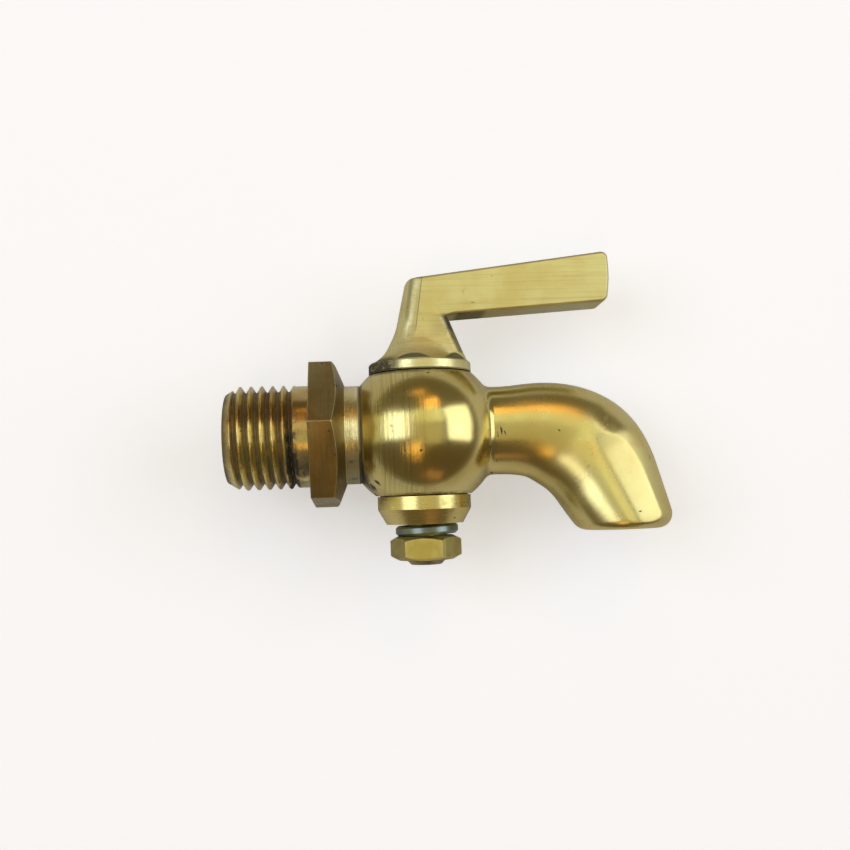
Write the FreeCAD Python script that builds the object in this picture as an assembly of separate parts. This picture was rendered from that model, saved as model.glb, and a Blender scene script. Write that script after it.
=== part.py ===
import FreeCAD, Part
import math
import os

# Radiator drain tap: a ground taper key in a ball body, with a threaded inlet and a bent spout.
# The origin is the centre of the inlet end face, +X runs along the waterway and +Z up to the lever.
# Sizes are in millimetres and degrees.

# Inlet: G 1/4 male thread, drawn as rings one pitch apart
thread_diameter = 12.95
thread_length = 8.1
thread_pitch = 1.337
thread_depth = 0.8
thread_turns = 5
thread_crest_width = 0.2
thread_root_width = 0.24
first_crest = 1.7
lead_chamfer_depth = 0.95
lead_chamfer_length = 1.5
stub_diameter = 12.7
inlet_length = 10.4
waterway_diameter = 6.0

# Spanner hexagon and the short neck behind it
hex_across_flats = 16.8
hex_corner_width = 2.8
hex_turn = 7.1
hex_cone_length = 1.45
neck_diameter = 12.3
hex_to_ball_centre = 13.8

# Ball that carries the key
ball_diameter = 19.6
ball_top = 7.3
ball_bottom = 7.75

# Spout: straight root, bend, straight tail, cut level at the mouth
spout_root_height = 11.05
spout_bend_height = 14.9
spout_mouth_height = 10.7
spout_root_width = 10.9
spout_bend_width = 11.9
spout_mouth_width = 10.7
spout_squareness = 2.25
spout_taper_power = 1.1
spout_straight = 12.7
spout_bend_radius = 11.4
spout_bend_angle = 62.7
spout_swell_angle = 46.5
spout_sink = 5.4
spout_stations = 9
section_points = 16
mouth_drop = 12.9
mouth_round = 1.8
outlet_bore_diameter = 6.0
ball_spout_fillet = 1.4

# Ground facets on both sides of the spout's tail
facet_turn = 27.0
facet_depth = 0.32
facet_start = 1.0

# Ground taper seat and key
seat_top_diameter = 10.4
seat_taper = 0.1
running_clearance = 0.05
port_diameter = 6.0
flange_diameter = 12.9
flange_thickness = 1.33
flange_gap = 0.15
flange_bevel = 0.2

# Keyed tail and its threaded stud
tail_diameter = 5.7
tail_flats = 4.7
tail_shortfall = 0.5
stud_diameter = 4.6
stud_chamfer = 0.4
stud_showing = 0.6

# Lever and its neck
lever_thickness = 5.2
lever_reach = 24.3
lever_back = 1.48
lever_back_lean = 12.5
lever_back_round = 2.3
lever_root_top = 19.25
lever_end_top = 22.25
lever_root_under = 14.6
lever_end_under = 15.78
lever_edge_bevel = 0.25
lever_shoulder_round = 1.1
lever_tip_top_round = 0.8
lever_tip_under_round = 1.0
lever_end_round = 12.0
lever_tip_top_back = 0.15
lever_tip_under_back = 0.4
neck_front_top = 3.65
neck_front_lean = 21.5
neck_front_round = 1.5
foot_length = 12.3
foot_width = 9.8
foot_waist = 5.5
foot_height = 4.8
foot_hollow = 0.72

# Parts on the tail, from the ball down
tail_washer_diameter = 11.65
tail_washer_rim = 1.65
tail_washer_thickness = 3.45
tail_washer_face = 9.6
washer_gap = 0.12
hole_clearance = 0.08
spring_washer_diameter = 7.8
spring_washer_hole = 5.1
spring_washer_thickness = 1.25
spring_washer_slit = 0.8
spring_washer_shift = 0.2
spring_washer_bevel = 0.3
spring_washer_lean = 2.0
nut_across_flats = 7.7
nut_height = 2.95
nut_turn = 36.9
nut_chamfer_angle = 28.0
nut_face_diameter = 6.9

# Places worked out from the sizes
V = FreeCAD.Vector
X_AXIS = V(1, 0, 0)
Y_AXIS = V(0, 1, 0)
Z_AXIS = V(0, 0, 1)
hex_face = inlet_length
ball_centre = inlet_length + hex_to_ball_centre
ball_radius = ball_diameter / 2
flange_under = ball_top + flange_gap
flange_top = flange_under + flange_thickness
washer_top = -ball_bottom - washer_gap
washer_under = washer_top - tail_washer_thickness
spring_lean_height = spring_washer_diameter * math.sin(math.radians(spring_washer_lean)) / 2
spring_middle = washer_under - spring_washer_thickness / 2 - spring_lean_height
spring_under = spring_middle - spring_washer_thickness / 2 - spring_lean_height
nut_under = spring_under - nut_height
stud_end = nut_under - stud_showing

# How far joined shapes run into each other, how near counts as touching, and the reach of cutting tools
overlap = 1.0
near = 1e-4
tool_size = 4 * ball_diameter


def rounded_outline(corners, place):
    """Closed wire through corners (u, v, radius), each rounded by a tangent arc; place maps u, v to 3-D."""
    ends = []
    count = len(corners)
    for index, (u, v, radius) in enumerate(corners):
        here = V(u, v, 0)
        before = V(corners[index - 1][0], corners[index - 1][1], 0) - here
        after = V(corners[(index + 1) % count][0], corners[(index + 1) % count][1], 0) - here
        before.normalize()
        after.normalize()
        if radius == 0:
            ends.append((here, None, here))
            continue
        half = before.getAngle(after) / 2
        reach = radius / math.tan(half)
        middle = before + after
        middle.normalize()
        crown = here + middle * (radius / math.sin(half) - radius)
        ends.append((here + before * reach, crown, here + after * reach))
    edges = []
    for index, (start, crown, finish) in enumerate(ends):
        if crown is not None:
            edges.append(Part.Arc(place(start), place(crown), place(finish)).toShape())
        following = ends[(index + 1) % count][0]
        if finish.distanceToPoint(following) > near:
            edges.append(Part.makeLine(place(finish), place(following)))
    return Part.Wire(edges)


def prism(corners, place, direction):
    """Solid swept from a rounded outline along a direction."""
    return Part.Face(rounded_outline(corners, place)).extrude(direction)


def turned(profile, centre, axis, side):
    """Solid of revolution; profile is a list of (along the axis, radius) corners closed on the axis."""
    points = [centre + axis * along + side * radius for along, radius in profile]
    points.append(points[0])
    return Part.Face(Part.makePolygon(points)).revolve(centre, axis, 360)


def hexagon(across_flats, start, turn, first_side, second_side, direction):
    """Hexagonal prism with one corner turned from first_side towards second_side."""
    radius = across_flats / math.sqrt(3)
    points = []
    for corner in range(7):
        angle = math.radians(turn + 60 * corner)
        points.append(start + first_side * (radius * math.cos(angle)) + second_side * (radius * math.sin(angle)))
    return Part.Face(Part.makePolygon(points)).extrude(direction)


def edges_where(shape, test):
    """Edges of a shape whose middle point passes a test."""
    chosen = []
    for edge in shape.Edges:
        middle = edge.valueAt((edge.FirstParameter + edge.LastParameter) / 2)
        if test(middle):
            chosen.append(edge)
    return chosen


# Spout: sections along its centre line

bend_start = ball_centre + spout_straight
bend_length = math.radians(spout_bend_angle) * spout_bend_radius
swell_place = spout_straight + math.radians(spout_swell_angle) * spout_bend_radius
tail_direction = V(math.cos(math.radians(spout_bend_angle)), 0, -math.sin(math.radians(spout_bend_angle)))


def spout_centre(length):
    """Point of the centre line and its downward slope in degrees, at a length from the ball's centre."""
    if length <= spout_straight:
        return V(ball_centre + length, 0, 0), 0.0
    turned_by = min((length - spout_straight) / bend_length, 1.0) * spout_bend_angle
    angle = math.radians(turned_by)
    point = V(bend_start + spout_bend_radius * math.sin(angle), 0, -spout_bend_radius * (1 - math.cos(angle)))
    beyond = length - spout_straight - bend_length
    if beyond > 0:
        point = point + tail_direction * beyond
    return point, turned_by


def mouth_length():
    """Length along the centre line at which it meets the level of the mouth."""
    bend_end = spout_centre(spout_straight + bend_length)[0]
    return spout_straight + bend_length + (mouth_drop + bend_end.z) / -tail_direction.z


def ease(start, finish, share):
    """Smooth change from start to finish as share goes from 0 to 1."""
    share = min(max(share, 0.0), 1.0)
    return start + (finish - start) * (1 - math.cos(math.pi * share)) / 2


def spout_half_sizes(length):
    """Half height in the plane of the bend and half width across it."""
    if length < swell_place:
        share = (length - ball_radius) / (swell_place - ball_radius)
        return (ease(spout_root_height, spout_bend_height, share) / 2,
                ease(spout_root_width, spout_bend_width, share) / 2)
    share = ((length - swell_place) / (mouth_length() - swell_place)) ** spout_taper_power
    return ((spout_bend_height + (spout_mouth_height - spout_bend_height) * share) / 2,
            (spout_bend_width + (spout_mouth_width - spout_bend_width) * share) / 2)


def spout_frame(length):
    """Centre, outward direction in the plane of the bend and half sizes of one section."""
    centre, slope = spout_centre(length)
    outward = V(math.sin(math.radians(slope)), 0, math.cos(math.radians(slope)))
    half_height, half_width = spout_half_sizes(length)
    return centre, outward, half_height, half_width


def spout_section(length):
    """Closed superellipse across the spout."""
    centre, outward, half_height, half_width = spout_frame(length)
    power = 2 / spout_squareness
    points = []
    for step in range(section_points):
        angle = math.tau * step / section_points
        across = math.copysign(abs(math.sin(angle)) ** power, math.sin(angle)) * half_width
        up = math.copysign(abs(math.cos(angle)) ** power, math.cos(angle)) * half_height
        points.append(centre + Y_AXIS * across + outward * up)
    curve = Part.BSplineCurve()
    curve.interpolate(points, PeriodicFlag=True)
    return Part.Wire(curve.toShape())


def spout_blank():
    """Swelling, bent bar of the spout, cut level and rounded at the mouth."""
    first = ball_radius - spout_sink
    last = mouth_length() + spout_mouth_height / 2 + overlap
    step_length = (last - first) / (spout_stations - 1)
    sections = [spout_section(first + step_length * step) for step in range(spout_stations)]
    bar = Part.makeLoft(sections, True, False)
    corner = V(ball_centre, -tool_size / 2, -mouth_drop - tool_size)
    bar = bar.cut(Part.makeBox(tool_size, tool_size, tool_size, corner))
    rim = edges_where(bar, lambda point: abs(point.z + mouth_drop) < near)
    return bar.makeFillet(mouth_round, rim)


def facet_tool(side):
    """Block whose flat face grinds one side of the spout's tail; side is -1 or 1 along Y."""
    turn = math.radians(facet_turn)
    spots = []
    for length in (spout_straight + bend_length + facet_start, mouth_length()):
        centre, outward, half_height, half_width = spout_frame(length)
        normal = Y_AXIS * (side * math.cos(turn)) + outward * math.sin(turn)
        support = math.hypot(half_height * math.sin(turn), half_width * math.cos(turn))
        spots.append(centre + normal * (support - facet_depth))
    along = spots[1] - spots[0]
    along.normalize()
    normal = normal - along * normal.dot(along)
    normal.normalize()
    across = along.cross(normal)
    corners = []
    for forward, sideways in ((-1, -1), (1, -1), (1, 1), (-1, 1), (-1, -1)):
        corners.append(spots[0] + (along * forward + across * sideways) * spout_bend_height)
    return Part.Face(Part.makePolygon(corners)).extrude(normal * spout_bend_height)


def inlet_outline():
    """Lead chamfer, thread rings and plain stub, as (along the waterway, radius) corners."""
    radius = thread_diameter / 2
    half_crest = thread_crest_width / 2
    half_root = thread_root_width / 2
    corners = [(0, 0), (0, radius - lead_chamfer_depth), (lead_chamfer_length, radius)]
    for turn in range(thread_turns):
        crest = first_crest + thread_pitch * turn
        groove = crest + thread_pitch / 2
        if turn > 0:
            corners.append((crest - half_crest, radius))
        corners.append((crest + half_crest, radius))
        corners.append((groove - half_root, radius - thread_depth))
        corners.append((groove + half_root, radius - thread_depth))
    corners.append((thread_length, stub_diameter / 2))
    corners.append((hex_face + overlap, stub_diameter / 2))
    corners.append((hex_face + overlap, 0))
    return corners


def tap_body():
    """Casting: threaded inlet, hexagon, neck, ball and spout, with its bores and taper seat."""
    inlet = turned(inlet_outline(), V(0, 0, 0), X_AXIS, Z_AXIS)
    corner_radius = hex_across_flats / math.sqrt(3)
    cone_start = hex_face + hex_corner_width
    cone_end = cone_start + hex_cone_length
    head = hexagon(hex_across_flats, V(hex_face, 0, 0), hex_turn, Y_AXIS * -1, Z_AXIS,
                   X_AXIS * (cone_end - hex_face))
    blank = turned([(hex_face, 0), (hex_face, corner_radius), (cone_start, corner_radius),
                    (cone_end, neck_diameter / 2), (cone_end, 0)], V(0, 0, 0), X_AXIS, Z_AXIS)
    head = head.common(blank)
    neck = Part.makeCylinder(neck_diameter / 2, ball_centre - cone_start, V(cone_start, 0, 0), X_AXIS)
    ball = Part.makeSphere(ball_radius, V(ball_centre, 0, 0))
    spout = spout_blank()
    for side in (-1, 1):
        spout = spout.cut(facet_tool(side))
    ball_and_spout = ball.fuse(spout)
    seam = edges_where(ball_and_spout, lambda point: on_ball(point) and point.x > ball_centre)
    ball_and_spout = ball_and_spout.makeFillet(ball_spout_fillet, seam)
    top_cut = Part.makeCylinder(ball_radius, ball_radius, V(ball_centre, 0, ball_top), Z_AXIS)
    bottom_cut = Part.makeCylinder(ball_radius, ball_radius, V(ball_centre, 0, -ball_bottom), Z_AXIS * -1)
    ball_and_spout = ball_and_spout.cut(top_cut).cut(bottom_cut)
    solid = inlet.fuse([head, neck, ball_and_spout])
    for bore in waterway():
        solid = solid.cut(bore)
    return solid.cut(seat_cone(0, overlap)).removeSplitter()


def on_ball(point):
    """True for a point on the surface of the ball."""
    return abs(point.distanceToPoint(V(ball_centre, 0, 0)) - ball_radius) < near


def outlet_meeting():
    """Point where the drilled outlet meets the waterway."""
    mouth = spout_centre(mouth_length())[0]
    return mouth - tail_direction * (mouth.z / tail_direction.z)


def waterway():
    """Inlet and outlet drillings and the round bottom where they meet."""
    meeting = outlet_meeting()
    along = Part.makeCylinder(waterway_diameter / 2, meeting.x, V(0, 0, 0), X_AXIS)
    corner = Part.makeSphere(max(waterway_diameter, outlet_bore_diameter) / 2, meeting)
    outlet_length = 2 * mouth_drop
    outlet = Part.makeCylinder(outlet_bore_diameter / 2, outlet_length, meeting, tail_direction)
    return [along, corner, outlet]


def seat_radius(height):
    """Radius of the taper seat at a height above the waterway."""
    return (seat_top_diameter - seat_taper * (ball_top - height)) / 2


def seat_cone(clearance, extra):
    """Taper between the two flats of the ball, made smaller by a clearance and longer by extra."""
    low = -ball_bottom - extra
    high = ball_top + extra
    return Part.makeCone(seat_radius(low) - clearance, seat_radius(high) - clearance, high - low,
                         V(ball_centre, 0, low), Z_AXIS)


def on_key(u, v):
    """Point in the plane of the lever; u runs along the lever from the key's axis, v is the height."""
    return V(ball_centre + u, 0, v)


def lever_bar():
    """Flat bar of the lever: its side outline, with the back rounded off in plan."""
    half = lever_thickness / 2
    lean = math.tan(math.radians(lever_back_lean))
    low = lever_root_under - overlap
    back_low = -lever_back - (lever_root_top - low) * lean
    middle = (lever_end_top + lever_end_under) / 2
    side = [(back_low, low, 0), (-lever_back, lever_root_top, lever_shoulder_round),
            (lever_reach - lever_tip_top_back, lever_end_top, lever_tip_top_round),
            (lever_reach, middle, lever_end_round),
            (lever_reach - lever_tip_under_back, lever_end_under, lever_tip_under_round),
            (neck_front_top, lever_root_under, 0), (neck_front_top - half, low, 0)]
    bar = prism(side, lambda p: on_key(p.x, p.y) - Y_AXIS * half, Y_AXIS * lever_thickness)
    ends = edges_where(bar, lambda point: point.x > ball_centre + neck_front_top and abs(point.y) > half - near)
    bar = bar.makeChamfer(lever_edge_bevel, ends)
    tall = lever_end_top - low + 2 * overlap
    shift = (low - overlap - lever_root_top) * lean
    plan = [(-lever_back + shift, -half, lever_back_round), (2 * lever_reach, -half, 0),
            (2 * lever_reach, half, 0), (-lever_back + shift, half, lever_back_round)]
    cutter = prism(plan, lambda p: V(ball_centre + p.x, p.y, low - overlap), V(tall * lean, 0, tall))
    return bar.common(cutter)


def neck_outline(height):
    """Plan outline of the lever's neck at a height."""
    half = lever_thickness / 2
    back = -lever_back - (lever_root_top - height) * math.tan(math.radians(lever_back_lean))
    front = neck_front_top + (lever_root_under - height) * math.tan(math.radians(neck_front_lean))
    corners = [(back, -half, lever_back_round), (front, -half, neck_front_round),
               (front, half, neck_front_round), (back, half, lever_back_round)]
    return rounded_outline(corners, lambda p: V(ball_centre + p.x, p.y, height))


def key_foot():
    """Oval foot that spreads from the neck to the flange with a hollow flare."""
    toe = foot_length / 2
    waist = foot_waist / 2
    low = V(toe, 0, flange_top)
    high = V(waist, 0, flange_top + foot_height)
    inward = V(-foot_height, 0, waist - toe)
    inward.normalize()
    flare = Part.Arc(low, (low + high) / 2 + inward * foot_hollow, high).toShape()
    base = V(toe, 0, flange_top - overlap / 2)
    outline = Part.Wire([Part.makeLine(V(0, 0, base.z), base), Part.makeLine(base, low), flare,
                         Part.makeLine(high, V(0, 0, high.z)), Part.makeLine(V(0, 0, high.z), V(0, 0, base.z))])
    foot = Part.Face(outline).revolve(V(0, 0, 0), Z_AXIS, 360)
    squash = FreeCAD.Matrix()
    squash.scale(1, foot_width / foot_length, 1)
    foot = foot.transformGeometry(squash)
    foot.translate(V(ball_centre, 0, 0))
    return foot


def key_tail(diameter, flats, low, high):
    """Round bar with two flats, standing between two heights on the key's axis."""
    bar = Part.makeCylinder(diameter / 2, high - low, V(ball_centre, 0, low), Z_AXIS)
    block = Part.makeBox(diameter, flats, high - low, V(ball_centre - diameter / 2, -flats / 2, low))
    return bar.common(block)


def plug_key():
    """Ground taper plug with its port, flange, lever, keyed tail and stud, in one piece."""
    plug = seat_cone(running_clearance, 0)
    rim = flange_diameter / 2
    flange = turned([(flange_under, 0), (flange_under, rim), (flange_top - flange_bevel, rim),
                     (flange_top, rim - flange_bevel), (flange_top, 0)],
                    V(ball_centre, 0, 0), Z_AXIS, X_AXIS)
    collar = Part.makeCylinder(seat_radius(ball_top) - running_clearance, flange_gap,
                               V(ball_centre, 0, ball_top), Z_AXIS)
    neck = Part.makeLoft([neck_outline(flange_top + overlap / 2), neck_outline(lever_root_under + overlap)],
                         True, True)
    tail = key_tail(tail_diameter, tail_flats, washer_under + tail_shortfall, -ball_bottom + overlap)
    stud = turned([(stud_end, 0), (stud_end, stud_diameter / 2 - stud_chamfer),
                   (stud_end + stud_chamfer, stud_diameter / 2), (-ball_bottom, stud_diameter / 2),
                   (-ball_bottom, 0)], V(ball_centre, 0, 0), Z_AXIS, X_AXIS)
    key = plug.fuse([collar, flange, key_foot(), neck, lever_bar(), tail, stud])
    port = Part.makeCylinder(port_diameter / 2, 2 * ball_radius, V(ball_centre - ball_radius, 0, 0), X_AXIS)
    return key.cut(port).removeSplitter()


def tail_washer():
    """Thick washer, coned below, whose flatted hole turns it with the key."""
    radius = tail_washer_diameter / 2
    ring = turned([(washer_under, 0), (washer_under, tail_washer_face / 2),
                   (washer_top - tail_washer_rim, radius), (washer_top, radius), (washer_top, 0)],
                  V(ball_centre, 0, 0), Z_AXIS, X_AXIS)
    hole = key_tail(tail_diameter + 2 * hole_clearance, tail_flats + 2 * hole_clearance,
                    washer_under - overlap, washer_top + overlap)
    return ring.cut(hole)


def spring_washer():
    """Split spring washer: a bevelled bar bent round to a slit, lying with a slight lean."""
    inner = spring_washer_hole / 2
    outer = spring_washer_diameter / 2
    half = spring_washer_thickness / 2
    bevel = spring_washer_bevel
    outline = [(inner, -half), (outer - bevel, -half), (outer, bevel - half), (outer, half - bevel),
               (outer - bevel, half), (inner, half), (inner, -half)]
    slit = math.degrees(spring_washer_slit / outer)
    bar = Part.Face(Part.makePolygon([V(reach, 0, height) for reach, height in outline]))
    bar = bar.revolve(V(0, 0, 0), Z_AXIS, 360 - slit)
    bar.rotate(V(0, 0, 0), Z_AXIS, slit / 2)
    bar.rotate(V(0, 0, 0), Y_AXIS, -spring_washer_lean)
    bar.translate(V(ball_centre + spring_washer_shift, 0, spring_middle))
    return bar


def tail_nut():
    """Hexagon nut, chamfered on both faces, with a plain bore over the stud's crests."""
    corner_radius = nut_across_flats / math.sqrt(3)
    face_radius = nut_face_diameter / 2
    slope = (corner_radius - face_radius) * math.tan(math.radians(nut_chamfer_angle))
    prism_part = hexagon(nut_across_flats, V(ball_centre, 0, nut_under), -nut_turn, Y_AXIS * -1, X_AXIS,
                         Z_AXIS * nut_height)
    blank = turned([(nut_under, 0), (nut_under, face_radius), (nut_under + slope, corner_radius),
                    (spring_under - slope, corner_radius), (spring_under, face_radius), (spring_under, 0)],
                   V(ball_centre, 0, 0), Z_AXIS, X_AXIS)
    bore = Part.makeCylinder(stud_diameter / 2 + hole_clearance, nut_height + 2 * overlap,
                             V(ball_centre, 0, nut_under - overlap), Z_AXIS)
    return prism_part.common(blank).cut(bore)


pieces = {
    "tap_body": tap_body,
    "plug_key": plug_key,
    "tail_washer": tail_washer,
    "spring_washer": spring_washer,
    "tail_nut": tail_nut,
}

os.makedirs("parts", exist_ok=True)
for name, make in pieces.items():
    shape = make()
    solids = shape.Solids
    if len(solids) == 1:
        shape = solids[0]
    shape.exportStep("parts/" + name + ".step")
    box = shape.BoundBox
    print(name, "solids", len(solids), "valid", shape.isValid(), "volume", round(shape.Volume, 2),
          "X", round(box.XMin, 2), round(box.XMax, 2), "Y", round(box.YMin, 2), round(box.YMax, 2),
          "Z", round(box.ZMin, 2), round(box.ZMax, 2))
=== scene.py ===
import math

import bmesh
import bpy
from mathutils import Matrix, Vector


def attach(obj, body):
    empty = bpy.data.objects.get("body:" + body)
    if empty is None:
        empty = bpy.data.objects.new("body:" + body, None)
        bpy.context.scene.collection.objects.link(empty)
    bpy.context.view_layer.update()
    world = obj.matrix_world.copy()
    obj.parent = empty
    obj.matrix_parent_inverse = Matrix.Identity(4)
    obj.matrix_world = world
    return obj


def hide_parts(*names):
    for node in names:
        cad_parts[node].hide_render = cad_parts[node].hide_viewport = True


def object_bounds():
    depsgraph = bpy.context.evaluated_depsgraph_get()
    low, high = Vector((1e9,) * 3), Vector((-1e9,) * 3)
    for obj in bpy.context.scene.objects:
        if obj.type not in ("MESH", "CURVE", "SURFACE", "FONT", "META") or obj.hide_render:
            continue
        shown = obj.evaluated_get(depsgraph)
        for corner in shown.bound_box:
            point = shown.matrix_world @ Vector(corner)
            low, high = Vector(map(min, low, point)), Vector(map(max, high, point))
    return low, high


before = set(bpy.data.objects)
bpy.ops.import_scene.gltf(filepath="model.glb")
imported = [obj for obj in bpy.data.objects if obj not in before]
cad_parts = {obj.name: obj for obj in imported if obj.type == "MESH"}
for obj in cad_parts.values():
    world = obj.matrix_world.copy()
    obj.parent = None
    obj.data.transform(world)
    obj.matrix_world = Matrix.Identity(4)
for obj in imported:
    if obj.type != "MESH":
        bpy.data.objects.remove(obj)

cadBox = [list(corner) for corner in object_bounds()]
mm = 0.001
print("frame loaded:", ", ".join(sorted(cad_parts)))


# A socket in an expression. Sums and products of wires add Math nodes.
class Wire:
    def __init__(self, tree, socket):
        self.tree = tree
        self.socket = socket

    def maths(self, operation, *others):
        return self.tree.maths(operation, self, *others)

    def __add__(self, other):
        return self.maths("ADD", other)

    def __sub__(self, other):
        return self.maths("SUBTRACT", other)

    def __rsub__(self, other):
        return self.tree.maths("SUBTRACT", other, self)

    def __mul__(self, other):
        return self.maths("MULTIPLY", other)

    def __truediv__(self, other):
        return self.maths("DIVIDE", other)

    def __pow__(self, other):
        return self.maths("POWER", other)

    __radd__ = __add__
    __rmul__ = __mul__


class Tree:
    def __init__(self, nodeTree):
        self.nodes = nodeTree.nodes
        self.links = nodeTree.links

    # A node from its type, its settings, and the values or links of its sockets.
    def add(self, kind, settings=None, sockets=()):
        node = self.nodes.new(kind)
        for name, value in (settings or {}).items():
            setattr(node, name, value)
        pairs = sockets.items() if isinstance(sockets, dict) else enumerate(sockets)
        for key, value in pairs:
            self.plug(node.inputs[key], value)
        return [Wire(self, socket) for socket in node.outputs if socket.enabled]

    def plug(self, socket, value):
        if isinstance(value, Wire):
            self.links.new(value.socket, socket)
            return
        if socket.type == "RGBA" and len(value) == 3:
            value = (*value, 1.0)
        socket.default_value = value

    def maths(self, operation, *values):
        return self.add("ShaderNodeMath", dict(operation=operation), values)[0]

    def vector(self, operation, sockets):
        found = self.add("ShaderNodeVectorMath", dict(operation=operation), sockets)
        return found[-1] if operation in ("DOT_PRODUCT", "LENGTH") else found[0]

    def clamp(self, value, low=0.0, high=1.0):
        return self.add("ShaderNodeClamp", None, [value, low, high])[0]

    def rise(self, value, start, end):  # 0 before start, 1 after end, smooth between
        smooth = dict(interpolation_type="SMOOTHSTEP")
        return self.add("ShaderNodeMapRange", smooth, [value, start, end, 0.0, 1.0])[0]

    def fall(self, value, start, end):  # 1 before start, 0 after end
        return 1 - self.rise(value, start, end)

    def band(self, value, low, high, soft):  # 1 between low and high
        return self.rise(value, low - soft, low + soft) * self.fall(value, high - soft, high + soft)

    def mix(self, share, first, second):
        return self.add("ShaderNodeMix", dict(data_type="RGBA"), {0: share, 6: first, 7: second})[0]

    def noise(self, place, scale, detail, rough, stretch=(1, 1, 1)):
        if stretch != (1, 1, 1):
            place = self.add("ShaderNodeMapping", None, {"Vector": place, "Scale": stretch})[0]
        sockets = {"Vector": place, "Scale": scale, "Detail": detail, "Roughness": rough}
        return self.add("ShaderNodeTexNoise", None, sockets)[0]


def newMaterial(name):
    material = bpy.data.materials.new(name)
    material.use_nodes = True
    tree = Tree(material.node_tree)
    shader = material.node_tree.nodes["Principled BSDF"]
    return material, tree, shader


# Masks below take the tree, the place on the piece, and x, y, z in millimetres.
def lightGrime(tree, place, x, y, z):
    return tree.rise(tree.noise(place, 260.0, 3.0, 0.6), 0.66, 0.74) * 0.25


# Every finish starts from this one. Distances and radii are in millimetres.
plainLook = dict(
    bright=(0.75, 0.655, 0.27), warm=(0.70, 0.555, 0.19),  # the two tones of the patches
    patchScale=160.0, patchRange=(0.36, 0.68),
    lineScale=900.0, lineStretch=(1, 1, 1), lineRange=(0.45, 0.75),  # tool or belt lines
    lineTone=0.0, lineColour=(0.70, 0.555, 0.19), lineStrength=0.12, lineDistance=0.02,
    workedMask=None, workedRough=0.0,  # where the lines show; None is everywhere
    rubScale=5200.0, rubStretch=(1, 1, 0.3), rubDepth=0.25,
    pitScale=900.0, pitLevel=0.80, pitSoft=0.03,
    rough=0.2, roughSpread=0.12, roughLines=0.08, hazeMask=None,
    waveScale=150.0, waveStrength=0.07, waveDistance=0.3,
    edgeRadius=0.12, edgeWearAndHighlight=0.3, edgeWearAndHighlightColour=(0.95, 0.88, 0.52),
    dirtAndShadeMask=lightGrime, dirtAndShadeColour=(0.055, 0.048, 0.032), dirtAndShadeRough=0.35, dirtAndShadeDull=0.75,
    marks=(), tilt=None,
)


# Rounded normal, and how sharply the surface turns there.
def edgeOf(tree, radius):
    rounded = tree.add("ShaderNodeBevel", dict(samples=6), {"Radius": radius})[0]
    flat = tree.add("ShaderNodeNewGeometry")[1]
    return rounded, tree.rise(1 - tree.vector("DOT_PRODUCT", [rounded, flat]), 0.01, 0.12)


# 1 inside a small ragged mark: its centre and half sizes in millimetres, its turn about Y in degrees.
def ragged(tree, place, spot, sizes, turn):
    shake = 0.5 * mm
    shaky = tree.add("ShaderNodeTexNoise", None, {"Vector": place, "Scale": 2200.0, "Detail": 2.0})[1]
    shaken = tree.vector("MULTIPLY_ADD", [shaky, (shake, shake, shake), place])
    centre = [value * mm + shake / 2 for value in spot]
    local = tree.vector("SUBTRACT", [shaken, centre])
    local = tree.add("ShaderNodeVectorRotate", dict(rotation_type="Y_AXIS"),
                     {"Vector": local, "Center": (0, 0, 0), "Angle": math.radians(turn)})[0]
    away = tree.vector("LENGTH", [tree.vector("DIVIDE", [local, [value * mm for value in sizes]])])
    return tree.fall(away, 0.55, 1.0)
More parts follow.
